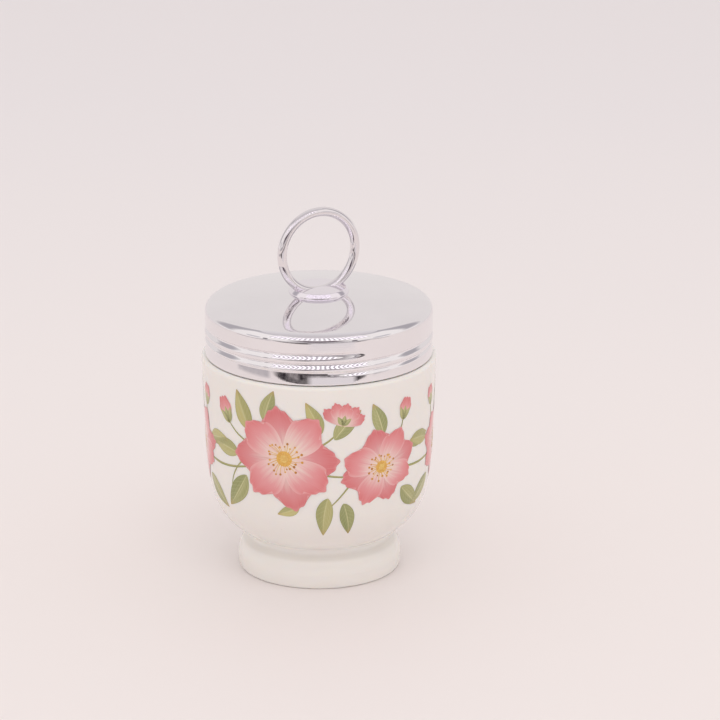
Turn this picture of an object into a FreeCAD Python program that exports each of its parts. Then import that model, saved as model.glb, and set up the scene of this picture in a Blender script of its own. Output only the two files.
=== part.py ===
"""Egg coddler: a porcelain cup with a screw-on pressed metal lid and lifting ring.

The axis of the cup is Z and the foot stands on Z = 0. The front is towards -Y.
Every size is in millimetres and every angle in degrees.
"""
import FreeCAD, Part
import math
import os
from FreeCAD import Vector

# ---- foot -------------------------------------------------------------------
foot_radius = 25.25         # widest place of the foot
foot_bulge_height = 4.35    # height of that widest place
foot_tuck = 0.5             # how far the side draws in below it
foot_top_round = 7.85       # arc from the widest place up to the waist
foot_edge_round = 0.7       # edge that stands on the table
foot_ring_width = 2.8       # width of the ring that touches the table
recess_depth = 10.5         # height of the hollow under the cup
recess_draft = 8.0          # lean of the hollow's side
recess_corner = 3.0

# ---- cup --------------------------------------------------------------------
shoulder_height = 68.75     # top of the body, just below the lid's edge
shoulder_radius = 36.15
shoulder_round = 1.1
side_lean = 2.5             # the body narrows going down
side_end_height = 38.8      # where the straight side ends
flank_radius = 80.6         # wide arc below the straight side
flank_turn = 9.3
belly_radius = 20.1         # arc that closes the bowl towards the waist
waist_fillet = 1.6
floor_thickness = 5.0       # porcelain between the bowl and the hollow
bowl_corner = 12.5          # large rounding at the bottom of the bowl
neck_height = 15.45         # from the shoulder up to the rim
neck_wall = 3.1
neck_fillet = 0.6
bore_lean = 1.2             # the bowl's inside narrows going down
rim_round = 1.2

# ---- lid shell --------------------------------------------------------------
shoulder_ledge = 1.15       # how far the cup's shoulder stands out past the skirt
sheet = 0.5                 # thickness of the pressed sheet
thread_room = 1.5           # between the skirt's inside and the neck
skirt_gap = 0.2             # air between the skirt's edge and the cup's shoulder
rim_gap = 0.27              # air between the dome and the rim, over the neck's outside
dome_sphere = 165.0         # radius of the dome
lid_corner = 3.0            # outer rounding between dome and skirt
hem_round = 0.4             # curled edge at the bottom of the skirt

# ---- screw thread -----------------------------------------------------------
pitch = 3.0
run_out = 60.0              # each end of a thread grows to full height over this angle
run_out_start = 0.25        # share of its height that an end starts with
thread_buried = 0.6         # how far a thread's hidden side lies past its surface
groove_depth = 0.7          # how far the rolled groove sinks into the skirt
groove_mouth = 1.7          # width of the groove at the skirt's face
groove_floor = 0.6
groove_turns = 2.3
groove_end_angle = -58.0    # where the groove runs out at its upper end
groove_end_drop = 9.5       # from the top of the dome down to that end
ridge_height = 0.95         # how far the cup's ridge stands out of the neck
ridge_foot = 2.2            # width of the ridge at the neck
ridge_crest = 0.7
ridge_turns = 1.75
ridge_end_angle = 122.0     # where the ridge runs out at its upper end

# ---- lifting ring, its seat and the rivet -----------------------------------
ring_diameter = 27.9        # outside of the ring
ring_wire = 2.9
finger_hole_rise = 0.1      # lowest point of the ring's inside above the seat's top
ring_heading = 28.0         # between the ring's plane and the X axis
seat_radius = 9.2
seat_height = 1.3           # the seat's top above the top of the dome
seat_round = 0.4
slot_floor = 0.35           # seat left between the ring's flat and the dome
braze_film = 0.03           # around the ring where it is set in the seat
spigot_radius = 3.4         # hollow pin under the seat, through the dome
spigot_gap = 0.05
rivet_radius = 1.7
rivet_gap = 0.05
rivet_end_gap = 0.1         # air above the rivet's end
rivet_cover = 0.3           # seat left above that air
rivet_head_radius = 4.4
rivet_head_height = 1.1
washer_radius = 6.5
washer_thickness = 0.8

# ---- sizes that follow ------------------------------------------------------
lid_radius = shoulder_radius - shoulder_ledge
neck_radius = lid_radius - sheet - thread_room
neck_bore = neck_radius - neck_wall
rim_height = shoulder_height + neck_height
skirt_bottom = shoulder_height + skirt_gap
dome_rise = dome_sphere - math.sqrt(dome_sphere ** 2 - neck_radius ** 2)
dome_height = rim_height + rim_gap + sheet + dome_rise
groove_end_height = dome_height - groove_end_drop
groove_slope = math.atan((groove_mouth - groove_floor) / (2 * groove_depth))
bead_widening = 2 * sheet * (1 / math.cos(groove_slope) - math.tan(groove_slope))
half_turns = (ridge_end_angle - groove_end_angle) / 360 + 0.5
ridge_end_height = groove_end_height + pitch * half_turns
dome_under = dome_height - sheet
seat_top = dome_height + seat_height
ring_flat = dome_height + slot_floor
ring_path = (ring_diameter - ring_wire) / 2
ring_centre = seat_top + finger_hole_rise + ring_path - ring_wire / 2
washer_bottom = dome_under - washer_thickness


def point(radius, height):
    """A point of a profile: its distance from the axis and its height."""
    return Vector(radius, 0, height)


def polar(centre, radius, angle):
    """The point at that angle on a circle in the profile's plane."""
    turn = math.radians(angle)
    return centre + Vector(radius * math.cos(turn), 0, radius * math.sin(turn))


def chain(points):
    """Straight edges from each point to the next."""
    return [Part.makeLine(start, end) for start, end in zip(points, points[1:])]


def arc(centre, radius, first, last):
    """The arc from one angle to another on a circle in the profile's plane."""
    ends = [polar(centre, radius, angle) for angle in (first, (first + last) / 2, last)]
    return Part.Arc(*ends).toShape()


def spin(edges):
    """The solid that a closed profile sweeps about the axis."""
    face = Part.Face(Part.Wire(edges))
    return face.revolve(Vector(0, 0, 0), Vector(0, 0, 1), 360)


def disc(radius, bottom, top):
    return Part.makeCylinder(radius, top - bottom, Vector(0, 0, bottom))


def rounded(solid, radius, *places):
    """The solid with a fillet on its circular edges at those (radius, height) places."""
    chosen = []
    for edge in solid.Edges:
        box = edge.BoundBox
        for place_radius, height in places:
            near = abs(box.XMax - place_radius) + abs(box.ZMax - height) + box.ZLength
            if near < 0.01:
                chosen.append(edge)
    return solid.makeFillet(radius, chosen)


def thread(surface, height, foot_width, crest_width, turns, end_angle, end_height):
    """A right-hand thread on a round surface; a negative height sinks it into the surface.

    It is a loft through upright sections: as wide as foot_width at the surface, as
    crest_width at its full height, and hidden past the surface on its other side.
    """
    widening = (foot_width - crest_width) / height
    buried = math.copysign(thread_buried, height)
    steps = round(turns * 12)
    sections = []
    for step in range(steps + 1):
        turn = turns * step / steps
        grown = min(1.0, min(turn, turns - turn) * 360 / run_out)
        reach = height * (run_out_start + (1 - run_out_start) * grown)
        angle = math.radians(end_angle - 360 * turn)
        corners = []
        for stand, side in ((-buried, 0.5), (reach, 0.5), (reach, -0.5), (-buried, -0.5), (-buried, 0.5)):
            radius = surface + stand
            offset = side * (foot_width - widening * stand)
            across = Vector(radius * math.cos(angle), radius * math.sin(angle), 0)
            corners.append(across + Vector(0, 0, end_height - pitch * turn + offset))
        sections.append(Part.makePolygon(corners))
    return Part.makeLoft(sections, True, False)


def meeting_point(centre_a, radius_a, centre_b, radius_b):
    """The meeting point of two profile circles that lies further from the axis."""
    between = centre_b - centre_a
    distance = between.Length
    along = (distance ** 2 + radius_a ** 2 - radius_b ** 2) / (2 * distance)
    aside = math.sqrt(radius_a ** 2 - along ** 2)
    unit = between / distance
    across = Vector(-unit.z, 0, unit.x)
    middle = centre_a + unit * along
    return max((middle + across * aside, middle - across * aside), key=lambda place: place.x)


def angle_at(centre, place):
    return math.degrees(math.atan2(place.z - centre.z, place.x - centre.x))


def cup_body():
    """The cup without its hollows: foot, bowl, shoulder and neck."""
    lean_in = math.tan(math.radians(side_lean)) * (shoulder_height - side_end_height)
    side_end = point(shoulder_radius - lean_in, side_end_height)
    flank_centre = polar(side_end, -flank_radius, -side_lean)
    flank_end_angle = -side_lean - flank_turn
    flank_end = polar(flank_centre, flank_radius, flank_end_angle)
    belly_centre = polar(flank_end, -belly_radius, flank_end_angle)
    bulge = point(foot_radius, foot_bulge_height)
    foot_centre = bulge - Vector(foot_top_round, 0, 0)
    waist_centre = meeting_point(
        belly_centre, belly_radius + waist_fillet, foot_centre, foot_top_round + waist_fillet
    )
    waist_low = angle_at(foot_centre, waist_centre)
    waist_high = angle_at(waist_centre, belly_centre)
    foot_bottom = point(foot_radius - foot_tuck, 0)
    foot_side = (bulge + foot_bottom) / 2 + Vector(foot_tuck / 4, 0, 0)
    edges = chain([point(0, 0), foot_bottom])
    edges.append(Part.Arc(foot_bottom, foot_side, bulge).toShape())
    edges.append(arc(foot_centre, foot_top_round, 0, waist_low))
    edges.append(arc(waist_centre, waist_fillet, waist_low + 180, waist_high))
    edges.append(arc(belly_centre, belly_radius, waist_high - 180, flank_end_angle))
    edges.append(arc(flank_centre, flank_radius, flank_end_angle, -side_lean))
    edges += chain([
        side_end,
        point(shoulder_radius, shoulder_height),
        point(neck_radius, shoulder_height),
        point(neck_radius, rim_height),
        point(0, rim_height),
        point(0, 0),
    ])
    body = spin(edges)
    body = rounded(body, foot_edge_round, (foot_bottom.x, 0))
    body = rounded(body, shoulder_round, (shoulder_radius, shoulder_height))
    return rounded(body, neck_fillet, (neck_radius, shoulder_height))


def cup():
    """Porcelain cup: bowl, hollow foot, and a threaded neck for the lid."""
    body = cup_body()
    floor = recess_depth + floor_thickness
    bore_foot = neck_bore - math.tan(math.radians(bore_lean)) * (rim_height - floor)
    bowl = Part.makeCone(bore_foot, neck_bore, rim_height - floor, Vector(0, 0, floor))
    bowl = rounded(bowl, bowl_corner, (bore_foot, floor))
    hollow_foot = foot_radius - foot_tuck - foot_ring_width
    hollow_top = hollow_foot - math.tan(math.radians(recess_draft)) * recess_depth
    hollow = Part.makeCone(hollow_foot, hollow_top, recess_depth)
    hollow = rounded(hollow, recess_corner, (hollow_top, recess_depth))
    body = body.cut(bowl).cut(hollow)
    body = rounded(body, rim_round, (neck_radius, rim_height), (neck_bore, rim_height))
    section = (ridge_height, ridge_foot, ridge_crest)
    ridge = thread(neck_radius, *section, ridge_turns, ridge_end_angle, ridge_end_height)
    return body.fuse(ridge)


def lid_form(inset, bottom=skirt_bottom):
    """The filled outline of the lid, drawn in by inset, down to that height."""
    radius = lid_radius - inset
    corner = lid_corner - inset
    sphere = dome_sphere - inset
    top = dome_height - inset
    sphere_centre = point(0, top - sphere)
    reach = radius - corner
    corner_centre = sphere_centre + point(reach, math.sqrt((sphere - corner) ** 2 - reach ** 2))
    edge_angle = angle_at(sphere_centre, corner_centre)
    edges = [
        arc(sphere_centre, sphere, 90, edge_angle),
        arc(corner_centre, corner, edge_angle, 0),
    ]
    edges += chain([
        polar(corner_centre, corner, 0),
        point(radius, bottom),
        point(0, bottom),
        point(0, top),
    ])
    return spin(edges)


def lid_shell():
    """Pressed lid: domed top, skirt with a rolled thread, curled edge and a centre hole."""
    placing = (groove_turns, groove_end_angle, groove_end_height)
    groove = thread(lid_radius, -groove_depth, groove_mouth, groove_floor, *placing)
    bead_foot = groove_mouth + bead_widening
    bead_crest = groove_floor + bead_widening
    bead = thread(lid_radius - sheet, -groove_depth, bead_foot, bead_crest, *placing)
    hem = Part.makeTorus(lid_radius - hem_round, hem_round, Vector(0, 0, skirt_bottom + hem_round))
    outside = rounded(lid_form(0), hem_round, (lid_radius, skirt_bottom))
    inside = lid_form(sheet, skirt_bottom - skirt_gap).cut(hem).cut(bead)
    hole = disc(spigot_radius + spigot_gap, washer_bottom, seat_top)
    return outside.cut(inside).cut(groove).cut(hole)


def ring_torus(wire_radius):
    """The full ring, upright in its heading."""
    torus = Part.makeTorus(ring_path, wire_radius, Vector(0, 0, 0), Vector(0, 1, 0))
    torus.rotate(Vector(0, 0, 0), Vector(0, 0, 1), ring_heading)
    torus.translate(Vector(0, 0, ring_centre))
    return torus


def above(height):
    """A block that holds everything of the lid's fittings above that height."""
    reach = ring_diameter
    return Part.makeBox(2 * reach, 2 * reach, 2 * reach, Vector(-reach, -reach, height))


def lifting_ring():
    """Bright wire ring with a flat ground on it where it stands in its seat."""
    return ring_torus(ring_wire / 2).common(above(ring_flat))


def ring_seat():
    """Low round seat, brazed to the ring, with a hollow pin through the dome."""
    plate = disc(seat_radius, washer_bottom, seat_top)
    plate = rounded(plate, seat_round, (seat_radius, seat_top))
    plate = plate.cut(lid_form(0))
    spigot = disc(spigot_radius, washer_bottom, ring_flat)
    slot = ring_torus(ring_wire / 2 + braze_film).common(above(ring_flat))
    bore = disc(rivet_radius + rivet_gap, washer_bottom, ring_flat - rivet_cover)
    return plate.fuse(spigot).cut(slot).cut(bore)


def rivet_washer():
    """Washer inside the lid, under the rivet's head; it takes the seat's pin."""
    washer = disc(washer_radius, washer_bottom, dome_under)
    washer = washer.common(lid_form(sheet))
    return washer.cut(disc(spigot_radius + spigot_gap, washer_bottom, dome_under))


def rivet():
    """Rivet with a domed head, from inside the lid up into the seat's pin."""
    head_bottom = washer_bottom - rivet_head_height
    crown = (rivet_head_radius ** 2 + rivet_head_height ** 2) / (2 * rivet_head_height)
    head = Part.makeSphere(crown, Vector(0, 0, head_bottom + crown))
    head = head.common(disc(rivet_head_radius, head_bottom, washer_bottom))
    shank_top = ring_flat - rivet_cover - rivet_end_gap
    shank = disc(rivet_radius, washer_bottom - rivet_head_height / 2, shank_top)
    return head.fuse(shank)


def main():
    os.makedirs("parts", exist_ok=True)
    for build in (cup, lid_shell, ring_seat, lifting_ring, rivet_washer, rivet):
        shape = build()
        facets = len(shape.tessellate(0.05)[1])
        print(build.__name__, shape.isValid(), len(shape.Solids), round(shape.Volume, 1), facets)
        shape.Solids[0].exportStep(f"parts/{build.__name__}.step")


main()
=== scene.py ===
"""Looks of a screw-lid egg coddler: glazed cup with a printed garland, plated lid, lifting ring.

Lengths of the object are in millimetres and turned into metres by MM. The camera's distance
and the stage are in metres, and the scales of patterns are per metre. The front is the side
towards -Y.
"""
import math
import random

import bpy
from mathutils import Matrix, Vector

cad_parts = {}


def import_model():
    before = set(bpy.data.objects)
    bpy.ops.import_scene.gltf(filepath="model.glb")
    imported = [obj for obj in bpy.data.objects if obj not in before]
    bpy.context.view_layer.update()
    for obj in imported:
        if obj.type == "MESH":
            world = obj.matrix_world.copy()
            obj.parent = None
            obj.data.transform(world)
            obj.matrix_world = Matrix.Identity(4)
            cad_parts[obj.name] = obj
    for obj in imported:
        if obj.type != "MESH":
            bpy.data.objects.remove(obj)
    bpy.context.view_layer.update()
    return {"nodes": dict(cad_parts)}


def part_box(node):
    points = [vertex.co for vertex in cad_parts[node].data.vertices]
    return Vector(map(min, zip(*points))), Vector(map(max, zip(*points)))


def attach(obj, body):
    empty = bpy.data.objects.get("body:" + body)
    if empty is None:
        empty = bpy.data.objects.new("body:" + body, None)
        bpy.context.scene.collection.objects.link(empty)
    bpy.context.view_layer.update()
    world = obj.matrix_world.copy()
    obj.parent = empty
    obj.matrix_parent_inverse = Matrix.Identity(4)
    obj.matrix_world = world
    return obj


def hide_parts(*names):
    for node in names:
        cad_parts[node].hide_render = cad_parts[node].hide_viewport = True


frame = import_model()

MM = 0.001
nodes = frame["nodes"]
bpy.ops.object.select_all(action="DESELECT")

# ---- sizes taken from the frame --------------------------------------------------
lid_low, lid_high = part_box("lid_shell")
lid_radius = lid_high.x / MM
skirt_bottom = lid_low.z / MM
dome_height = lid_high.z / MM

# ---- sizes of the pressed lid ----------------------------------------------------
sheet = 0.5
dome_sphere = 165.0
lid_corner = 3.0
hem_round = 0.4
pin_hole_radius = 3.45
lid_steps = 240             # straight runs that make up its round
pitch = 3.0
groove_depth = 0.7
groove_upper_half = 0.75    # the thread's steep flank, up from its deepest line
groove_lower_half = 1.65    # and its gentle flank, down from it
groove_turns = 2.12         # the rest of its run-out is lost in the flared band
groove_end_angle = -58.0    # its top end, in degrees from X, anticlockwise from above
groove_end_height = dome_height - 9.5
run_out = 36.0              # degrees over which it fades in and out
band_height = 3.5           # bottom band of the skirt, flared out to the curled edge
band_shoulder = 0.75        # where the band steps back out to the skirt above it
band_depth = 0.38
band_curve = 1.3            # above 1, the flare is slow at the edge and quick above it

# ---- sizes of the ring's seat ----------------------------------------------------
seat_rim = 6.0              # slow curve of its rim, between two tilts in degrees
seat_rim_tilts = (22, 35)
seat_edge = 0.3             # round between its rim and its top
seat_steps = 120
seat_crease = 35            # degrees past which a corner stays sharp
pin_radius = 3.4            # hollow pin under the seat
pin_bore = 1.75
pin_bore_top = 0.05         # over the top of the dome
seam_gap = 0.002            # points of a turned piece that are nearer are merged

# ---- sizes of the cup's side, where the print lies -------------------------------
shoulder_height = 68.75
shoulder_radius = 36.15
side_lean = math.radians(2.5)
side_end_height = 38.8
flank_radius = 80.6
flank_turn = math.radians(9.3)
belly_radius = 20.1
wiped_height = 0.12         # the foot's ring is wiped free of glaze up to here
# painted shade in the waist crease, between these heights
painted_waist_shade_heights = (8.25, 9.0, 9.9, 10.8)
# painted light on the underside above the waist, between these heights
painted_underside_light_heights = (10.5, 11.1, 13.8, 18.6)
tallest_mask = 30.0         # heights for masks are taken as shares of this one

# ---- sizes of the print ----------------------------------------------------------
print_lift = 0.02           # of the film's foot over the glaze
print_layer = 0.012         # from one layer of colour to the next
print_thickness = 0.01
print_crease = 40           # degrees, as the seat's
sheet_radius = 35.5         # radius at which the transfer sheet's lengths are true
sprays = ((1, 1.0), (-1, 0.96), (1, 1.03))     # as drawn or mirrored, and how far grown


# ---- camera ----------------------------------------------------------------------
camera_aim = Vector((12.6, 0, 65.9)) * MM
camera_rise = math.radians(18.0)
camera_distance = 1.30
camera_lens = 211.45
camera_sensor = 36

bpy.ops.object.camera_add()
camera = bpy.context.object
camera.location = camera_aim + camera_distance * Vector((0, -math.cos(camera_rise), math.sin(camera_rise)))
camera.rotation_euler = (math.pi / 2 - camera_rise, 0, 0)
camera.data.lens = camera_lens
camera.data.sensor_width = camera_sensor
camera.data.clip_end = 50
bpy.context.scene.camera = camera


# ---- node helpers ----------------------------------------------------------------
def plug(tree, value, socket):
    """Links another node's output to the socket, or sets its plain value."""
    if isinstance(value, bpy.types.NodeSocket):
        tree.links.new(value, socket)
    elif isinstance(value, tuple) and len(value) == 3 and socket.type == "RGBA":
        socket.default_value = (*value, 1)
    else:
        socket.default_value = value


def add(tree, kind, settings=None, **sockets):
    """A node with its settings and its inputs, each a value or another node's output.

    An input is called by its name, or by its place, as _0 for the first.
    """
    made = tree.nodes.new(kind)
    for name, value in (settings or {}).items():
        setattr(made, name, value)
    for name, value in sockets.items():
        plug(tree, value, made.inputs[int(name[1:]) if name[0] == "_" else name.replace("_", " ")])
    return made


def maths(tree, operation, *values):
    made = add(tree, "ShaderNodeMath", {"operation": operation})
    for place, value in enumerate(values):
        plug(tree, value, made.inputs[place])
    return made.outputs[0]


def times(tree, first, second):
    return maths(tree, "MULTIPLY", first, second)


def parts_of(tree, vector):
    """The X, Y and Z of a vector."""
    return add(tree, "ShaderNodeSeparateXYZ", Vector=vector).outputs


def place_at(tree, across, up=0.0, deep=0.0):
    """A place put together from its X, Y and Z."""
    return add(tree, "ShaderNodeCombineXYZ", X=across, Y=up, Z=deep).outputs[0]


def spread(tree, value, low, high, first=0.0, last=1.0):
    """The value, taken from between low and high to between first and last."""
    made = add(tree, "ShaderNodeMapRange", Value=value, From_Min=low, From_Max=high,
               To_Min=first, To_Max=last)
    return made.outputs["Result"]


def ramp(tree, factor, *stops):
    """A colour ramp; each stop is (position, colour)."""
    made = add(tree, "ShaderNodeValToRGB", Fac=factor)
    band = made.color_ramp.elements
    while len(band) < len(stops):
        band.new(1.0)
    for stop, (position, colour) in zip(band, stops):
        stop.position = position
        stop.color = (*colour, 1)
    return made.outputs["Color"]


def mix(tree, factor, first, second, mode="MIX"):
    made = add(tree, "ShaderNodeMix", {"data_type": "RGBA", "blend_type": mode},
               _0=factor, _6=first, _7=second)
    return made.outputs[2]


def lay_over(tree, body, *layers):
    """The body's colour with each layer of (mask, share, colour) laid over it in turn."""
    for mask, share, colour in layers:
        body = mix(tree, times(tree, mask, share), body, colour)
    return body


def noise(tree, place, scale, detail=2.0, roughness=0.5):
    made = add(tree, "ShaderNodeTexNoise", Vector=place, Scale=scale, Detail=detail, Roughness=roughness)
    return made.outputs[0]


def group(name, inputs, outputs):
    """An empty node group with its sockets, each (name, type, default)."""
    tree = bpy.data.node_groups.new(name, "ShaderNodeTree")
    for label, kind, default in inputs:
        socket = tree.interface.new_socket(label, in_out="INPUT", socket_type="NodeSocket" + kind)
        if default is not None:
            socket.default_value = default
    for label, kind in outputs:
        tree.interface.new_socket(label, in_out="OUTPUT", socket_type="NodeSocket" + kind)
    return tree, tree.nodes.new("NodeGroupInput").outputs, tree.nodes.new("NodeGroupOutput").inputs


def placed(tree, made_group, **sockets):
    """A group placed in a material's tree."""
    return add(tree, "ShaderNodeGroup", {"node_tree": made_group}, **sockets).outputs


def material(name):
    """A material with its tree and its Principled shader."""
    made = bpy.data.materials.new(name)
    made.use_nodes = True
    return made, made.node_tree, made.node_tree.nodes["Principled BSDF"]


def bare_material(name):
    """A material with an empty tree."""
    made = bpy.data.materials.new(name)
    made.use_nodes = True
    made.node_tree.nodes.clear()
    return made, made.node_tree


def set_shader(tree, shader, **sockets):
    """Plugs a value or another node's output into each named socket of a shader."""
    for name, value in sockets.items():
        plug(tree, value, shader.inputs[name.replace("_", " ")])


def object_place(tree):
    return add(tree, "ShaderNodeTexCoord").outputs["Object"]


def uv_place(tree):
    """The piece's own UV map, as its X and Y."""
    return parts_of(tree, add(tree, "ShaderNodeUVMap").outputs[0])


def dress(piece, finish):
    piece.data.materials.clear()
    piece.data.materials.append(finish)


# ---- shared effects --------------------------------------------------------------
def glaze_group():
    """Clear glaze: slow ripples, faint orange peel, uneven gloss and a rare iron speck."""
    ripple_scale, peel_scale, speck_scale = 55.0, 700.0, 140.0
    peel_share = 0.05
    ripple_rise = 0.0006
    uneven_gloss = 0.04
    speck_size = 0.02
    tree, given, out = group(
        "glaze",
        [("Place", "Vector", None), ("Gloss Roughness", "Float", 0.06), ("Ripple", "Float", 0.05)],
        [("Roughness", "Float"), ("Normal", "Vector"), ("Speck", "Float")],
    )
    slow = noise(tree, given["Place"], ripple_scale, 1.0)
    fine = noise(tree, given["Place"], peel_scale)
    height = maths(tree, "MULTIPLY_ADD", fine, peel_share, slow)
    bump = add(tree, "ShaderNodeBump", Height=height, Strength=given["Ripple"], Distance=ripple_rise)
    specks = add(tree, "ShaderNodeTexVoronoi", Vector=given["Place"], Scale=speck_scale)
    gloss = maths(tree, "MULTIPLY_ADD", slow, uneven_gloss, given["Gloss Roughness"])
    tree.links.new(gloss, out["Roughness"])
    tree.links.new(bump.outputs[0], out["Normal"])
    tree.links.new(maths(tree, "LESS_THAN", specks.outputs["Distance"], speck_size), out["Speck"])
    return tree


def polish_group():
    """Polished plate: hairline scratches round the axis and across it, and soft smudges."""
    round_scale, hairline_scale, stray_scale, smudge_scale = 1.2, 2600.0, 900.0, 70.0
    stray_share = 0.6
    hairline_rise = 0.00002
    clean_below, wear_gain = 0.35, 2.0
    mirror_roughness = 0.02
    tree, given, out = group(
        "polish",
        [("Place", "Vector", None), ("Plain Roughness", "Float", 0.05), ("Hairlines", "Float", 0.1),
         ("Smudges", "Float", 0.05)],
        [("Roughness", "Float"), ("Normal", "Vector"), ("Wear", "Float")],
    )
    part = parts_of(tree, given["Place"])
    angle = maths(tree, "ARCTAN2", part[1], part[0])
    radius = maths(tree, "SQRT", maths(tree, "MULTIPLY_ADD", part[1], part[1], times(tree, part[0], part[0])))
    round_place = place_at(tree, times(tree, angle, round_scale), times(tree, radius, hairline_scale),
                           times(tree, part[2], hairline_scale))
    rounds = noise(tree, round_place, 1.0, 3.0)
    stray = noise(tree, given["Place"], stray_scale, 4.0, 0.7)
    smudge = noise(tree, given["Place"], smudge_scale, 5.0)
    wear = times(tree, maths(tree, "SUBTRACT", smudge, clean_below), wear_gain)
    height = maths(tree, "MULTIPLY_ADD", stray, stray_share, rounds)
    bump = add(tree, "ShaderNodeBump", Height=height, Strength=given["Hairlines"], Distance=hairline_rise)
    rough = maths(tree, "MULTIPLY_ADD", wear, given["Smudges"], given["Plain Roughness"])
    tree.links.new(maths(tree, "MAXIMUM", rough, mirror_roughness), out["Roughness"])
    tree.links.new(bump.outputs[0], out["Normal"])
    tree.links.new(wear, out["Wear"])
    return tree


def brushwork_group():
    """Painted colour: streaks that run along a petal or leaf, and a soft mottle over it."""
    streaks_across, streaks_along, streak_drift = 11.0, 1.1, 37.0
    mottle_scale, mottle_drift = 2.2, 53.0
    streak_band, mottle_band = (0.35, 0.65), (0.3, 0.7)
    tree, given, out = group(
        "brushwork",
        [("Across", "Float", 0.0), ("Along", "Float", 0.0), ("Tint", "Float", 0.0)],
        [("Streak", "Float"), ("Mottle", "Float")],
    )
    fan = place_at(tree, times(tree, given["Across"], streaks_across),
                   times(tree, given["Along"], streaks_along), times(tree, given["Tint"], streak_drift))
    patch = place_at(tree, given["Across"], given["Along"], times(tree, given["Tint"], mottle_drift))
    tree.links.new(spread(tree, noise(tree, fan, 1.0, 3.0, 0.6), *streak_band), out["Streak"])
    tree.links.new(spread(tree, noise(tree, patch, mottle_scale, 3.0), *mottle_band), out["Mottle"])
    return tree


glaze = glaze_group()
polish = polish_group()
brushwork = brushwork_group()


# ---- porcelain and plate ---------------------------------------------------------
porcelain_white = (0.88, 0.855, 0.82)
porcelain_shade = (0.80, 0.772, 0.725)
# painted shade for the waist crease
painted_waist_shade = (0.78, 0.75, 0.70)
# painted light for the underside above the waist
painted_underside_light = (0.96, 0.945, 0.91)
iron_speck = (0.35, 0.28, 0.22)
biscuit = (0.74, 0.70, 0.64)
biscuit_shade = (0.6, 0.56, 0.5)
biscuit_roughness = 0.7


def glazed(tree, shader):
    """The clear glaze over porcelain and print alike."""
    coat = placed(tree, glaze, Place=object_place(tree), Gloss_Roughness=0.05, Ripple=0.12)
    set_shader(tree, shader, Normal=coat["Normal"], IOR=1.5)
    return coat


def height_mask(tree, height, heights):
    """Full between the middle two of four heights, and gone at the outer two."""
    stops = [(edge / tallest_mask, (full, full, full)) for edge, full in zip(heights, (0, 1, 1, 0))]
    return ramp(tree, maths(tree, "DIVIDE", height, tallest_mask * MM), *stops)


def porcelain_material():
    """White glazed porcelain, with painted shade in the waist crease and painted light on the underside above
    it; the glaze is wiped off the foot's ring.
    """
    clay_scale, biscuit_scale = 40.0, 2500.0
    made, tree, shader = material("glazed_porcelain")
    place = object_place(tree)
    height = parts_of(tree, place)[2]
    coat = glazed(tree, shader)
    body = lay_over(
        tree, porcelain_white,
        (noise(tree, place, clay_scale, 3.0), 0.35, porcelain_shade),
        # painted shade in the waist crease
        (height_mask(tree, height, painted_waist_shade_heights), 0.75, painted_waist_shade),
        # painted light on the underside above the waist
        (height_mask(tree, height, painted_underside_light_heights), 0.45, painted_underside_light),
        (coat["Speck"], 0.3, iron_speck),
    )
    bare = maths(tree, "LESS_THAN", height, wiped_height * MM)
    worn = mix(tree, noise(tree, place, biscuit_scale, 3.0), biscuit, biscuit_shade)
    rough = add(tree, "ShaderNodeMix", _0=bare, _2=coat["Roughness"], _3=biscuit_roughness)
    set_shader(tree, shader, Base_Color=mix(tree, bare, body, worn), Roughness=rough.outputs[0],
               Subsurface_Weight=0.30, Subsurface_Radius=(1.0, 0.8, 0.6), Subsurface_Scale=2 * MM)
    return made


def plated_material(name, colour, roughness, hairlines, smudges):
    """Polished plate, a little duller where it is worn."""
    wear_share, worn_shade = 0.5, 0.92
    made, tree, shader = material(name)
    skin = placed(tree, polish, Place=object_place(tree), Plain_Roughness=roughness,
                  Hairlines=hairlines, Smudges=smudges)
    dull = tuple(worn_shade * part for part in colour)
    set_shader(tree, shader, Base_Color=lay_over(tree, colour, (skin["Wear"], wear_share, dull)),
               Roughness=skin["Roughness"], Normal=skin["Normal"], Metallic=1.0)
    return made


lid_plate = plated_material("lid_plate", (0.90, 0.88, 0.90), roughness=0.045, hairlines=0.10, smudges=0.04)
ring_plate = plated_material("ring_plate", (0.85, 0.82, 0.84), roughness=0.02, hairlines=0.03, smudges=0.015)
seat_plate = plated_material("seat_plate", (0.90, 0.86, 0.91), roughness=0.05, hairlines=0.08, smudges=0.04)
rivet_metal = plated_material("rivet_metal", (0.62, 0.61, 0.60), roughness=0.22, hairlines=0.5, smudges=0.12)


# ---- colours of the print --------------------------------------------------------
petal_body = (
    (0.04, (0.80, 0.56, 0.24)),
    (0.20, (0.86, 0.77, 0.60)),
    (0.45, (0.84, 0.62, 0.58)),
    (0.74, (0.77, 0.30, 0.31)),
    (1.0, (0.72, 0.18, 0.19)),
)
petal_pale = (0.87, 0.62, 0.60)
petal_deep = (0.72, 0.24, 0.27)
petal_rib = (0.62, 0.13, 0.20)
petal_shadow = (0.62, 0.20, 0.24)
leaf_green = (0.27, 0.31, 0.12)
leaf_yellow = (0.62, 0.55, 0.22)
leaf_streak = (0.66, 0.62, 0.36)
leaf_dark_half = (0.20, 0.25, 0.09)
leaf_vein = (0.62, 0.62, 0.36)
leaf_midrib = (0.66, 0.64, 0.36)
leaf_brown_tip = (0.55, 0.36, 0.12)
leaf_edge = (0.30, 0.33, 0.12)
leaf_shadow = (0.35, 0.38, 0.25)
stem_green = (0.30, 0.34, 0.12)
stem_brown = (0.48, 0.42, 0.18)
stem_dark_half = (0.17, 0.21, 0.06)
pollen_body = (
    (0.0, (0.83, 0.62, 0.20)),
    (0.45, (0.78, 0.42, 0.075)),
    (0.75, (0.52, 0.21, 0.04)),
    (1.0, (0.24, 0.09, 0.03)),
)
pollen_grain = (0.62, 0.28, 0.05)


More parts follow.
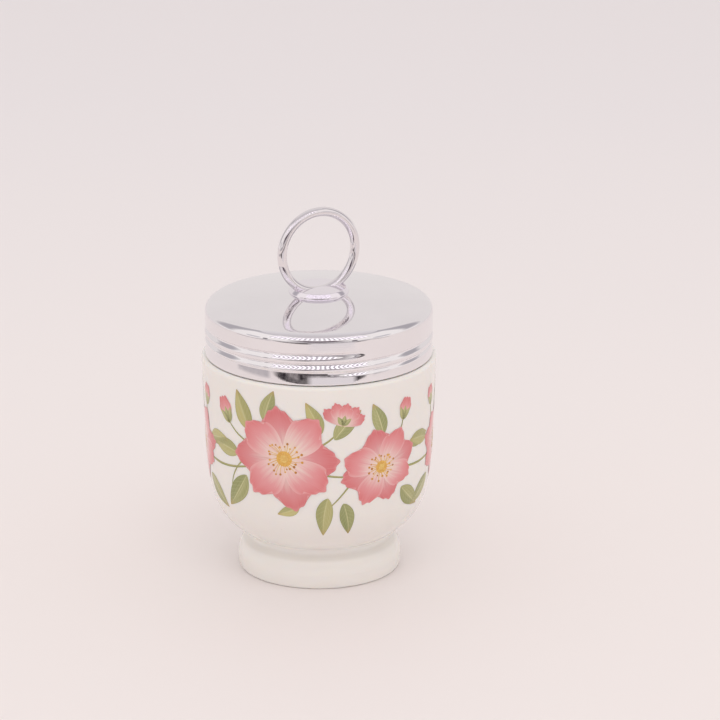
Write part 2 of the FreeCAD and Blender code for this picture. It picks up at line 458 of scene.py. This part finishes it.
def print_place(tree):
    """Across (0 at the middle, 1 at the side), side (-1 to 1) and along of a printed shape."""
    place = uv_place(tree)
    side = maths(tree, "MULTIPLY_ADD", place[0], 2.0, -1.0)
    return maths(tree, "ABSOLUTE", side), side, place[1]


def painted_number(tree, name):
    """A number that each printed shape carries, its tint or its shade."""
    return add(tree, "ShaderNodeAttribute", {"attribute_name": name}).outputs["Fac"]


def print_finish(tree, shader, colour):
    coat = glazed(tree, shader)
    set_shader(tree, shader, Base_Color=colour, Roughness=coat["Roughness"])


def petal_material():
    """Rose pink, cream towards the flower's centre, with fine streaks and a pale rim."""
    rib_half, rib_fade = 0.07, (0.75, 0.3)
    rim_start, tip_start = 0.80, 0.93
    made, tree, shader = material("petal_colours")
    across, side, along = print_place(tree)
    tint = painted_number(tree, "tint")
    paint = placed(tree, brushwork, Across=side, Along=along, Tint=tint)
    heart = along
    for pull, share in ((paint["Streak"], 0.16), (across, 0.12), (tint, 0.14)):
        heart = maths(tree, "MULTIPLY_ADD", pull, share, heart)
    rib = times(tree, spread(tree, across, rib_half, 0.0), spread(tree, along, *rib_fade))
    body = lay_over(
        tree, ramp(tree, heart, *petal_body),
        (paint["Streak"], 0.22, petal_pale),
        (paint["Mottle"], 0.18, petal_deep),
        (spread(tree, across, rim_start, 1.0), 0.35, petal_pale),
        (spread(tree, along, tip_start, 1.0), 0.25, petal_pale),
        (rib, 0.35, petal_rib),
    )
    shade = times(tree, painted_number(tree, "shade"), 0.32)
    print_finish(tree, shader, mix(tree, shade, body, petal_shadow, "MULTIPLY"))
    return made


def leaf_material():
    """Sage to yellow green, with a pale midrib, slanting veins and a browned tip."""
    veins, vein_slant, vein_start = 8.0, -1.6, 0.42
    dark_half, midrib = (-0.1, 0.3), (0.09, 0.02)
    tip_start, edge_start = 0.80, 0.85
    made, tree, shader = material("leaf_colours")
    across, side, along = print_place(tree)
    tint = painted_number(tree, "tint")
    paint = placed(tree, brushwork, Across=side, Along=along, Tint=tint)
    slant = maths(tree, "MULTIPLY_ADD", along, veins, times(tree, across, vein_slant))
    body = lay_over(
        tree, mix(tree, tint, leaf_green, leaf_yellow),
        (paint["Streak"], 0.45, leaf_streak),
        (spread(tree, side, *dark_half), 0.35, leaf_dark_half),
        (spread(tree, maths(tree, "PINGPONG", slant, 0.5), vein_start, 0.5), 0.5, leaf_vein),
        (spread(tree, across, *midrib), 0.8, leaf_midrib),
        (spread(tree, along, tip_start, 1.0), 0.7, leaf_brown_tip),
        (spread(tree, across, edge_start, 1.0), 0.5, leaf_edge),
    )
    shade = times(tree, painted_number(tree, "shade"), 0.5)
    print_finish(tree, shader, mix(tree, shade, body, leaf_shadow, "MULTIPLY"))
    return made


def stem_material():
    """Mottled green and brown, dark on one half."""
    made, tree, shader = material("stem_colours")
    side, along = print_place(tree)[1:]
    paint = placed(tree, brushwork, Across=side, Along=along, Tint=painted_number(tree, "tint"))
    body = mix(tree, paint["Mottle"], stem_green, stem_brown)
    body = lay_over(tree, body, (spread(tree, side, 0.0, 0.9), 0.6, stem_dark_half))
    print_finish(tree, shader, body)
    return made


def pollen_material():
    """Yellow to brown by tint, for the flower's eye, its stamens and their dots."""
    grain_scale, grain_band = 1800.0, (0.2, 0.7)
    made, tree, shader = material("pollen_colours")
    grain = add(tree, "ShaderNodeTexVoronoi", Vector=object_place(tree), Scale=grain_scale)
    body = ramp(tree, painted_number(tree, "tint"), *pollen_body)
    dusting = spread(tree, grain.outputs["Distance"], *grain_band)
    body = lay_over(tree, body, (dusting, 0.45, pollen_grain))
    print_finish(tree, shader, body)
    return made


dress(nodes["cup"], porcelain_material())
dress(nodes["lifting_ring"], ring_plate)
dress(nodes["rivet"], rivet_metal)
dress(nodes["rivet_washer"], rivet_metal)


# ---- pressed lid -----------------------------------------------------------------
def arc_points(centre, radius, first, last, steps):
    """Points on a circle in the profile's plane, from one angle to another."""
    turns = [math.radians(first + (last - first) * step / steps) for step in range(steps + 1)]
    return [(centre[0] + radius * math.cos(turn), centre[1] + radius * math.sin(turn)) for turn in turns]


def run_points(start, end, spacing):
    """Evenly spaced points on a straight run, without its two ends."""
    steps = max(1, round(math.dist(start, end) / spacing))
    return [tuple(a + (b - a) * step / steps for a, b in zip(start, end)) for step in range(1, steps)]


def dome_corner(inset):
    """The corner circle between dome and skirt, and the angle where it meets the dome."""
    corner = lid_corner - inset
    reach = lid_radius - inset - corner
    sphere_low = dome_height - dome_sphere
    rise = math.sqrt((dome_sphere - inset - corner) ** 2 - reach ** 2)
    return (reach, sphere_low + rise), corner, math.degrees(math.atan2(rise, reach))


def lid_profile():
    """The lid's closed section, from the hole over the dome, down the skirt and back inside."""
    outer_centre, outer_corner, outer_meet = dome_corner(0)
    inner_centre, inner_corner, inner_meet = dome_corner(sheet)
    hem = (lid_radius - hem_round, skirt_bottom + hem_round)
    wall = lid_radius - sheet
    hem_meet = math.degrees(math.acos((wall - hem[0]) / hem_round))
    sphere_centre = (0, dome_height - dome_sphere)
    hole_turn = math.degrees(math.acos(pin_hole_radius / dome_sphere))
    points = arc_points(sphere_centre, dome_sphere, hole_turn, outer_meet, steps=24)
    points += arc_points(outer_centre, outer_corner, outer_meet, 0, steps=18)[1:]
    points += run_points(points[-1], (lid_radius, hem[1]), spacing=0.16)
    points += arc_points(hem, hem_round, 0, hem_meet - 360, steps=14)
    points += run_points(points[-1], (wall, inner_centre[1]), spacing=0.32)
    points += arc_points(inner_centre, inner_corner, 0, inner_meet, steps=10)
    points += arc_points(sphere_centre, dome_sphere - sheet, inner_meet, hole_turn, steps=16)[1:]
    return points


def turned(name, points, steps):
    """A closed profile drawn point by point and spun about the axis."""
    bpy.ops.mesh.primitive_plane_add(size=MM)
    piece = bpy.context.object
    piece.name = name
    bpy.ops.object.mode_set(mode="EDIT")
    bpy.ops.mesh.merge(type="CENTER")
    bpy.ops.transform.translate(value=(points[0][0] * MM, 0, points[0][1] * MM))
    for start, end in zip(points, points[1:]):
        step = ((end[0] - start[0]) * MM, 0, (end[1] - start[1]) * MM)
        bpy.ops.mesh.extrude_vertices_move(TRANSFORM_OT_translate={"value": step})
    bpy.ops.mesh.select_all(action="SELECT")
    bpy.ops.mesh.edge_face_add()
    bpy.ops.mesh.delete(type="ONLY_FACE")
    bpy.ops.mesh.select_all(action="SELECT")
    bpy.ops.mesh.spin(steps=steps, angle=2 * math.pi, center=(0, 0, 0), axis=(0, 0, 1))
    bpy.ops.mesh.select_all(action="SELECT")
    bpy.ops.mesh.remove_doubles(threshold=seam_gap * MM)
    bpy.ops.mesh.delete_loose(use_verts=True, use_edges=True, use_faces=False)
    bpy.ops.mesh.select_all(action="SELECT")
    bpy.ops.mesh.normals_make_consistent(inside=False)
    bpy.ops.object.mode_set(mode="OBJECT")
    bpy.ops.object.shade_smooth()
    return piece


def eased(share):
    """The share from 0 to 1 with a soft start and end."""
    return share * share * (3 - 2 * share)


def swell(off):
    """Falls from 1 to 0 along a cosine, as off goes from 0 to 1."""
    return 0.5 + 0.5 * math.cos(math.pi * off)


def groove_at(angle, height):
    """How far the rolled thread is pressed in at that angle and height."""
    first_turn = ((groove_end_angle - angle) / 360) % 1
    sunk = 0.0
    for whole in range(math.ceil(groove_turns) + 1):
        turn = first_turn + whole
        if turn > groove_turns:
            break
        drop = groove_end_height - pitch * turn - height
        off = drop / groove_lower_half if drop > 0 else -drop / groove_upper_half
        if off < 1:
            grown = min(1.0, min(turn, groove_turns - turn) * 360 / run_out)
            sunk = max(sunk, groove_depth * eased(grown) * swell(off))
    return sunk


def band_at(height):
    """How far the flared bottom band lies inside the skirt's face at that height."""
    up = height - skirt_bottom - hem_round
    if up < 0 or up > band_height + band_shoulder:
        return 0.0
    if up < band_height:
        return band_depth * (up / band_height) ** band_curve
    return band_depth * swell((up - band_height) / band_shoulder)


def pressed_lid():
    lid = turned("pressed_lid", lid_profile(), lid_steps)
    for corner in lid.data.vertices:
        radius = math.hypot(corner.co.x, corner.co.y)
        angle = math.degrees(math.atan2(corner.co.y, corner.co.x))
        if radius > (lid_radius - sheet - hem_round) * MM:
            height = corner.co.z / MM
            sunk = max(groove_at(angle, height), band_at(height)) * MM
            corner.co.x *= (radius - sunk) / radius
            corner.co.y *= (radius - sunk) / radius
    dress(lid, lid_plate)
    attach(lid, "lid")
    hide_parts("lid_shell")


pressed_lid()


# ---- ring's seat -----------------------------------------------------------------
def seat_profile():
    """The seat's section, from the middle of its bore round its pin and rim to its top."""
    low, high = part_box("ring_seat")
    radius, pin_low, top = high.x / MM, low.z / MM, high.z / MM
    sphere_centre = (0, dome_height - dome_sphere)
    foot_turn, pin_turn = (math.degrees(math.acos(reach / dome_sphere)) for reach in (radius, pin_radius))
    first, last = (math.radians(tilt) for tilt in seat_rim_tilts)
    edge_reach = radius - seat_rim * (math.cos(first) - math.cos(last)) - seat_edge * math.cos(last)
    edge = (edge_reach, top - seat_edge)
    rim = (radius - seat_rim * math.cos(first), edge[1] - (seat_rim - seat_edge) * math.sin(last))
    bore_top = dome_height + pin_bore_top
    points = [(0, bore_top), (pin_bore, bore_top), (pin_bore, pin_low), (pin_radius, pin_low)]
    points += arc_points(sphere_centre, dome_sphere, pin_turn, foot_turn, steps=6)
    points += arc_points(rim, seat_rim, *seat_rim_tilts, steps=8)
    points += arc_points(edge, seat_edge, seat_rim_tilts[1], 90, steps=6)[1:]
    return points + [(0, top)]


def bevelled_seat():
    seat = turned("bevelled_seat", seat_profile(), seat_steps)
    bpy.ops.object.shade_smooth_by_angle(angle=math.radians(seat_crease))
    dress(seat, seat_plate)
    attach(seat, "lid")
    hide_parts("ring_seat")


bevelled_seat()


# ---- printed garland -------------------------------------------------------------
# The print is drawn flat, as on its transfer sheet: X is the way round the cup, from the
# front to the right, Y the height over the table and Z the layer of colour. Then the sheet
# is wrapped round the cup's side. A heading is in degrees from straight up, and grows to the left.
spray_stems = (             # start, middle, end, width
    ((-37.3, 39), (-25, 39), (-11, 46), 0.8),
    ((-11, 46), (6, 36), (20, 42), 0.8),
    ((37.3, 39), (29, 39), (20, 42), 0.8),
    ((-13, 47), (-26, 48), (-30.5, 54), 0.75),
    ((-4, 48), (5, 51), (7.5, 57), 0.75),
    ((20, 44), (28, 49), (28.5, 55.5), 0.7),
    ((12, 40), (6, 31), (0.5, 27.5), 0.6),
    ((-22, 45), (-30, 40), (-31, 32), 0.6),
)
spray_leaves = (            # place, heading, length, width, bend, layer, tint
    ((-24, 38), 150, 15, 3.1, 2.0, 1, 0.25),
    ((-27, 44.5), 78, 12, 2.7, -1.5, 1.2, 0.75),
    ((-22, 53), 28, 13, 2.9, 1.5, 1, 0.95),
    ((-17, 57), -14, 10.5, 2.3, 1.0, 1.2, 0.35),
    ((3, 33), 165, 13, 2.7, -2.0, 1, 0.6),
    ((8, 31), -160, 11, 2.4, 1.5, 1.2, 0.15),
    ((5, 52), -35, 12, 2.5, 1.5, 1, 0.3),
    ((1, 54), 20, 11, 2.2, -1.0, 1.2, 0.85),
    ((29, 33), -135, 13, 2.8, -1.5, 1, 0.4),
    ((32, 46), -75, 10.5, 2.4, 1.2, 1.2, 0.8),
    ((21, 52), 15, 11, 2.4, -1.2, 1, 0.2),
    ((-6, 30), 120, 8, 1.8, 1.0, 1, 0.9),
)
spray_buds = (              # place, size, heading
    ((-30.5, 53.5), 8.5, 22),
    ((28.5, 55), 7.2, -14),
)
spray_half_open = ((7.5, 56.5), 7.8, -12)
spray_blossoms = (          # place, radius, heading, squash and its heading, layer
    ((20.5, 41.5), 14.2, 17, 0.86, 25, 4),
    ((-10.5, 45.5), 17.2, 6, 0.94, -20, 9),
)
bud_layer = 2
petal_step = 0.2            # layers from one petal to the next
petal_turns = (-5, 5)
petal_lengths = (0.93, 1.05)    # these three are shares of the flower's radius
petal_widths = (0.33, 0.38)
petal_bends = (-0.07, 0.07)
petal_teeth = (0.012, 0.03)
petal_tints = (-0.6, 0.6)
lower_petals_shade = 0.55
petal_grid = (20, 18)       # columns and rows of each kind of shape
leaf_grid = (8, 30)
stem_grid = (2, 16)
dot_grid = (4, 4)
draw = random.Random(11)
print_pieces = {"petals": [], "leaves": [], "stems": [], "pollen": []}


def flat_shape(kind, grid, shape, layer, tint, shade=0.0):
    """A printed shape; shape gives its points from across (-1 to 1) and along (0 to 1)."""
    bpy.ops.mesh.primitive_grid_add(x_subdivisions=grid[0], y_subdivisions=grid[1], size=2)
    piece = bpy.context.object
    for corner in piece.data.vertices:
        corner.co = (*shape(corner.co.x, (corner.co.y + 1) / 2), layer * print_layer)
    for name, value in (("tint", tint), ("shade", shade)):
        painted = piece.data.attributes.new(name, "FLOAT", "POINT")
        painted.data.foreach_set("value", [value] * len(piece.data.vertices))
    print_pieces[kind].append(piece)
    return piece


def set_down(piece, place, heading, squash=1.0, squash_heading=0.0):
    """Turns a shape to its heading, squashes it and moves it to its place on the sheet."""
    tilt = Matrix.Rotation(math.radians(squash_heading), 4, "Z")
    press = tilt @ Matrix.Diagonal((1, squash, 1, 1)) @ tilt.inverted()
    turn = Matrix.Rotation(math.radians(heading), 4, "Z")
    piece.data.transform(Matrix.Translation((*place, 0)) @ press @ turn)


def petal(length, width, bend, teeth, layer, tint, shade):
    """A petal with a narrow claw and a broad, three-toothed tip."""
    claw, breadth, rounding = 0.05, 0.68, 0.26

    def shape(across, along):
        wide = width * math.sin(math.pi * (claw + breadth * along))
        tip = along ** 5 * (teeth * math.cos(3 * math.pi * across) - rounding * across ** 2)
        return wide * across + bend * along ** 2, length * (along + tip)
    return flat_shape("petals", petal_grid, shape, layer, tint, shade)


def leaf(place, heading, length, width, bend, layer, tint, shade=0.0):
    """A lance-shaped leaf, bent to one side."""
    stalk, low_belly, fullness = 0.03, 0.8, 0.9

    def shape(across, along):
        wide = width * (stalk + math.sin(math.pi * along ** low_belly) ** fullness)
        return wide * across + bend * along ** 2, length * along
    set_down(flat_shape("leaves", leaf_grid, shape, layer, tint, shade), place, heading)


def stem(start, middle, end, width, layer=0, kind="stems", tint=0.5):
    """A thin stroke along a curve that leans towards its middle point, half as wide at its end."""
    def shape(across, along):
        back = 1 - along
        x, y = (back * back * a + 2 * back * along * b + along * along * c
                for a, b, c in zip(start, middle, end))
        run_x, run_y = (back * (b - a) + along * (c - b) for a, b, c in zip(start, middle, end))
        half = width * (0.5 - 0.25 * along) / math.hypot(run_x, run_y)
        return x + run_y * half * across, y - run_x * half * across
    return flat_shape(kind, stem_grid, shape, layer, tint)


def dot(place, radius, layer, tint):
    """A small round dot of colour."""
    def shape(across, along):
        up = 2 * along - 1
        return (place[0] + radius * across * math.sqrt(1 - up * up / 2),
                place[1] + radius * up * math.sqrt(1 - across * across / 2))
    return flat_shape("pollen", dot_grid, shape, layer, tint)


def out_from(place, reach, turn):
    """The point at that reach from the place, turned to the right from straight up."""
    return place[0] + reach * math.sin(turn), place[1] + reach * math.cos(turn)


def eye(place, radius, layer):
    """The flower's yellow eye with its fan of stamens."""
    stamens, stamen_width, stamen_bow = 26, 0.26, 0.2
    heart, heart_tint = 0.15 * radius, 0.32
    button, button_tint = 0.075 * radius, 0.05
    dot(place, heart, layer, heart_tint)
    for count in range(stamens):
        turn = math.radians(360 * count / stamens + draw.uniform(-6, 6))
        reach = radius * draw.uniform(0.20, 0.36)
        end = out_from(place, reach, turn)
        middle = out_from(place, 0.6 * reach, turn + stamen_bow)
        stem(place, middle, end, stamen_width, layer + 1, "pollen", draw.uniform(0.1, 0.4))
        dot(end, draw.uniform(0.26, 0.42), layer + 2, draw.uniform(0.3, 0.9))
    dot(place, button, layer + 3, button_tint)


def blossom(place, radius, heading, squash, squash_heading, layer):
    """An open flower: four petals below, four above, and its eye."""
    for count in range(8):
        upper = count // 4
        turn = heading + 90 * (count % 4) + 45 * upper + draw.uniform(*petal_turns)
        length = radius * draw.uniform(*petal_lengths)
        width = radius * draw.uniform(*petal_widths)
        bend = radius * draw.uniform(*petal_bends)
        teeth = draw.uniform(*petal_teeth)
        petal_layer = layer + upper + petal_step * (count % 4)
        shape = petal(length, width, bend, teeth, petal_layer, draw.uniform(*petal_tints),
                      lower_petals_shade * (1 - upper))
        set_down(shape, place, turn, squash, squash_heading)
    eye(place, radius * (0.6 + 0.4 * squash), layer + 2)


def half_open(place, size, heading, layer):
    """A flower seen from its side, with its green calyx."""
    for count, lean in enumerate((-52, 52, -27, 27, 0)):
        shape = petal(size * draw.uniform(0.9, 1.05), 0.30 * size, 0.1 * lean / 52 * size, 0.03,
                      layer + petal_step * count, draw.uniform(-0.4, 0.5), 0.5 - 0.12 * count)
        set_down(shape, place, heading - lean)
    for lean in (-40, 0, 40):
        leaf(place, heading - lean, 0.42 * size, 0.10 * size, 0, layer + 1.2, 0.3)


def bud(place, size, heading, layer):
    """A closed flower: three petals in three green sepals."""
    for count, lean in enumerate((-13, 13, 0)):
        shape = petal(size, 0.24 * size, -0.06 * lean / 13 * size, 0.0, layer + petal_step * count,
                      draw.uniform(-0.5, 0.2), 0.5 - 0.2 * count)
        set_down(shape, place, heading - lean)
    for lean in (-24, 24, 0):
        leaf(place, heading - lean, 0.62 * size, 0.12 * size, 0.05 * lean / 24 * size, layer + 1, 0.45)


def spray(centre, side, grown):
    """One group of the garland; side is 1 as drawn or -1 mirrored, grown scales its motifs."""
    def at(x, y):
        return centre + side * x, y

    for start, middle, end, width in spray_stems:
        stem(at(*start), at(*middle), at(*end), width)
    for place, heading, length, width, bend, layer, tint in spray_leaves:
        shade = draw.uniform(0, 0.5)
        leaf(at(*place), side * heading, grown * length, width, side * bend, layer, tint, shade)
    for place, size, heading in spray_buds:
        bud(at(*place), grown * size, side * heading, bud_layer)
    place, size, heading = spray_half_open
    half_open(at(*place), grown * size, side * heading, bud_layer)
    for place, radius, heading, squash, squash_heading, layer in spray_blossoms:
        blossom(at(*place), grown * radius, side * heading, squash, side * squash_heading, layer)


def side_radius(height):
    """Radius of the cup's side at that height, from its straight side, flank and belly."""
    if height > side_end_height:
        return shoulder_radius - math.tan(side_lean) * (shoulder_height - height)
    side_end = shoulder_radius - math.tan(side_lean) * (shoulder_height - side_end_height)
    turn = side_lean + flank_turn
    flank = (side_end - flank_radius * math.cos(side_lean),
             side_end_height + flank_radius * math.sin(side_lean))
    belly = (flank[0] + (flank_radius - belly_radius) * math.cos(turn),
             flank[1] - (flank_radius - belly_radius) * math.sin(turn))
    flank_end = flank[1] - flank_radius * math.sin(turn)
    centre, radius = (flank, flank_radius) if height > flank_end else (belly, belly_radius)
    return centre[0] + math.sqrt(radius ** 2 - (height - centre[1]) ** 2)


def wrapped(kind, finish):
    """Joins one kind of printed shapes, gives the film its thickness and wraps it round the cup."""
    bpy.ops.object.select_all(action="DESELECT")
    for piece in print_pieces[kind]:
        piece.select_set(True)
    bpy.context.view_layer.objects.active = print_pieces[kind][0]
    bpy.ops.object.join()
    film = bpy.context.object
    film.name = "printed_" + kind
    bpy.ops.object.modifier_add(type="SOLIDIFY")
    film.modifiers[0].thickness = print_thickness
    film.modifiers[0].offset = -1
    bpy.ops.object.modifier_apply(modifier=film.modifiers[0].name)
    for corner in film.data.vertices:
        turn = corner.co.x / sheet_radius
        radius = side_radius(corner.co.y) + print_lift + corner.co.z
        corner.co = (radius * math.sin(turn) * MM, -radius * math.cos(turn) * MM, corner.co.y * MM)
    bpy.ops.object.shade_smooth_by_angle(angle=math.radians(print_crease))
    dress(film, finish)
    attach(film, "cup")


def garland():
    """Three sprays that follow each other round the cup, every second one mirrored."""
    way_round = 2 * math.pi * sheet_radius / len(sprays)
    for count, (side, grown) in enumerate(sprays):
        spray(count * way_round, side, grown)
    finishes = (petal_material(), leaf_material(), stem_material(), pollen_material())
    for kind, finish in zip(print_pieces, finishes):
        wrapped(kind, finish)


garland()


# ---- stage -----------------------------------------------------------------------
light_tint = (1.0, 0.955, 0.94)
lamp_aim = Vector((0, 0, 0.05))
floor_colour = (0.845, 0.795, 0.785)
far_floor = (0.795, 0.76, 0.775)
floor_radius = 6.0
floor_change = (0.15, 0.65)     # over which the floor's colour changes towards the back
ceiling_change = (-0.3, 0.5)
near = 0.26                 # distances of the cards from the object's axis
far = 1.00
lowest_card = 0.001         # a card's foot stays over the floor


def floor():
    """A pale floor that turns a little cooler and darker towards the back."""
    bpy.ops.mesh.primitive_circle_add(vertices=96, radius=floor_radius, fill_type="NGON")
    ground = bpy.context.object
    ground.name = "floor"
    made, tree, shader = material("pale_floor")
    place = object_place(tree)
    drift_scale, drift = 4.0, 0.2
    back = maths(tree, "MULTIPLY_ADD", noise(tree, place, drift_scale), drift, parts_of(tree, place)[1])
    tone = mix(tree, spread(tree, back, *floor_change), floor_colour, far_floor)
    set_shader(tree, shader, Base_Color=tone, Roughness=0.7)
    dress(ground, made)


def only_shiny(screen):
    """Shows a card to shiny surfaces alone, so that it neither lights nor hides anything."""
    screen.visible_camera = False
    screen.visible_diffuse = False
    screen.visible_shadow = False
    screen.visible_transmission = False


def card_height(distance, elevation):
    """Height at that distance, seen from the lid's edge at that elevation."""
    return max(lowest_card, skirt_bottom * MM + distance * math.tan(math.radians(elevation)))


def curved_screen(name, around, elevations, distance):
    """An upright curved screen between two angles round and two elevations."""
    bpy.ops.mesh.primitive_grid_add(x_subdivisions=48, y_subdivisions=1, size=2)
    screen = bpy.context.object
    screen.name = name
    low, high = (card_height(distance, elevation) for elevation in elevations)
    for corner in screen.data.vertices:
        turn = math.radians(around[0] + (around[1] - around[0]) * (corner.co.x + 1) / 2)
        height = low + (high - low) * (corner.co.y + 1) / 2
        corner.co = (distance * math.sin(turn), -distance * math.cos(turn), height)
    return screen


def blind_strength(tree, across, bars):
    """Bright upright bars of uneven strength."""
    bar_contrast, unevenness, darkest, bars_per_change = 0.6, 0.9, 0.55, 1.3
    wave = maths(tree, "SINE", times(tree, across, 2 * math.pi * bars))
    uneven = noise(tree, place_at(tree, times(tree, across, bars_per_change * bars)), 1.0)
    strength = maths(tree, "MULTIPLY_ADD", uneven, unevenness, darkest)
    return maths(tree, "MULTIPLY_ADD", wave, bar_contrast, strength)


def card_cover(tree, place, fades, streaks, ragged, bow):
    """How solid a card is at each place, from its faded edges and its streaks."""
    jag_scale = 70.0
    streaks_across, streaks_up, streak_band = 9.0, 2.0, (0.38, 0.72)
    foot = top = place[1]
    if ragged:
        jag = noise(tree, place_at(tree, times(tree, place[0], jag_scale)), 1.0, 2.0)
        foot = top = maths(tree, "SUBTRACT", maths(tree, "MULTIPLY_ADD", jag, ragged, place[1]), 0.5 * ragged)
    if bow:
        side = maths(tree, "MULTIPLY_ADD", place[0], 2.0, -1.0)
        foot = maths(tree, "MULTIPLY_ADD", times(tree, side, side), -bow, foot)
    side_fade, foot_fade, top_fade = fades
    cover = 1.0
    for way, edge, fade in (
        (place[0], 0, side_fade),
        (place[0], 1, -side_fade),
        (foot, 0, foot_fade),
        (top, 1, -top_fade),
    ):
        if fade:
            cover = times(tree, cover, spread(tree, way, edge, edge + fade))
    if streaks:
        grain = place_at(tree, times(tree, place[0], streaks_across), times(tree, place[1], streaks_up))
        patchy = noise(tree, grain, 1.0, 4.0, 0.65)
        cover = times(tree, cover, spread(tree, patchy, *streak_band, 1.0, 1.0 - streaks))
    return cover


def card(name, around, elevations, distance, colour, fades, streaks=0.0, bars=0, ragged=0.0, bow=0.0):
    """An upright curved card round the object, for the plate to mirror.

    It reaches between two angles round, in degrees from the front to the right, and two
    elevations from the lid's edge. Its fades are the shares of it that fade at its sides,
    foot and top. Its bars are bright upright stripes, as of a blind, and a ragged card's foot
    and top go up and down along it. A bowed card's foot rises towards its sides.
    """
    screen = curved_screen(name, around, elevations, distance)
    made, tree = bare_material(name)
    place = uv_place(tree)
    glow = add(tree, "ShaderNodeEmission", Color=colour)
    if bars:
        set_shader(tree, glow, Strength=blind_strength(tree, place[0], bars))
    cover = card_cover(tree, place, fades, streaks, ragged, bow)
    clear = add(tree, "ShaderNodeBsdfTransparent")
    seen = add(tree, "ShaderNodeMixShader", _0=cover, _1=clear.outputs[0], _2=glow.outputs[0])
    add(tree, "ShaderNodeOutputMaterial", Surface=seen.outputs[0])
    dress(screen, made)
    only_shiny(screen)


def ceiling(height, radius, forward, front_colour, back_colour):
    """A round grey ceiling for the plate to mirror, paler towards the back."""
    bpy.ops.mesh.primitive_circle_add(vertices=64, radius=radius, fill_type="NGON")
    screen = bpy.context.object
    screen.data.transform(Matrix.Translation((0, forward, height)))
    screen.name = "grey_ceiling"
    made, tree = bare_material("grey_ceiling")
    back = parts_of(tree, object_place(tree))[1]
    tone = mix(tree, spread(tree, back, *ceiling_change), front_colour, back_colour)
    glow = add(tree, "ShaderNodeEmission", Color=tone)
    add(tree, "ShaderNodeOutputMaterial", Surface=glow.outputs[0])
    dress(screen, made)
    only_shiny(screen)


def lamp(name, place, size, energy):
    """A square lamp turned to the object, which shiny surfaces don't mirror."""
    bpy.ops.object.light_add(type="AREA", location=place)
    light = bpy.context.object
    light.name = name
    light.data.shape = "SQUARE"
    light.data.size = size
    light.data.energy = energy
    light.data.color = light_tint
    light.rotation_euler = (lamp_aim - Vector(place)).to_track_quat("-Z", "Y").to_euler()
    light.visible_glossy = False


def world(strength):
    """Even light from all round."""
    made = bpy.data.worlds.new("studio")
    made.use_nodes = True
    bpy.context.scene.world = made
    set_shader(made.node_tree, made.node_tree.nodes["Background"], Color=light_tint, Strength=strength)


floor()
ceiling(height=1.75, radius=1.05, forward=-0.05,
        front_colour=(0.64, 0.60, 0.62), back_colour=(0.76, 0.73, 0.74))
card("flag", (-45, 51), (-12, -0.3), near, (0.03, 0.024, 0.028), (0.08, 0.1, 0.15), streaks=0.45,
     ragged=0.2, bow=0.75)
card("side_flag_left", (-84, -44), (-7.5, -1), near, (0.50, 0.46, 0.475), (0.1, 0.3, 0.2), streaks=0.3)
card("side_flag_right", (50, 72), (-5.5, -1), near, (0.45, 0.42, 0.43), (0.2, 0.2, 0.2), streaks=0.2)
card("window_sill", (-11, 37), (-13, -1.9), near - 0.01, (0.78, 0.725, 0.735), (0.12, 0.0, 0.12))
card("tripod", (-26, 34), (-2.2, 0.8), near + 0.01, (0.10, 0.08, 0.09), (0.25, 0.1, 0.3), streaks=0.3)
card("skirting", (-66, 66), (-2.5, 6), far, (0.42, 0.39, 0.41), (0.12, 0.2, 0.4), streaks=0.3)
card("camera_side", (-32, 34), (5, 22), far - 0.01, (0.12, 0.085, 0.11), (0.3, 0.12, 0.12))
card("window_blind", (-56, 56), (26, 52), far, (1.0, 0.93, 1.0), (0.04, 0.15, 0.15), bars=21, ragged=0.3)
card("frame_post_left", (-56, -50), (2, 16), far - 0.02, (0.22, 0.20, 0.22), (0.2, 0.2, 0.3))
card("frame_post_right", (32, 39), (2, 16), far - 0.02, (0.16, 0.14, 0.16), (0.2, 0.2, 0.3))
card("chair_left", (-76, -58), (5, 18), far, (0.58, 0.55, 0.58), (0.2, 0.2, 0.3))
card("chair_right", (54, 76), (5, 18), far, (0.58, 0.55, 0.58), (0.2, 0.2, 0.3))
card("cornice_left", (-100, -56), (49, 66), far, (0.58, 0.55, 0.58), (0.1, 0.25, 0.06))
card("cornice_right", (56, 100), (49, 66), far, (0.54, 0.51, 0.54), (0.1, 0.25, 0.06))
card("curtain_left", (-124, -90), (2, 64), far - 0.01, (0.46, 0.435, 0.46), (0.25, 0.08, 0.05))
card("curtain_right", (90, 122), (2, 64), far - 0.01, (0.44, 0.415, 0.44), (0.25, 0.08, 0.05))
card("rear_panel", (112, 248), (-4, 59), far + 0.01, (0.80, 0.76, 0.75), (0.06, 0.0, 0.05))
lamp("key_light", place=(0.12, -0.75, 1.5), size=0.9, energy=3.2)
world(strength=0.93)
bpy.context.scene.view_settings.view_transform = "Standard"
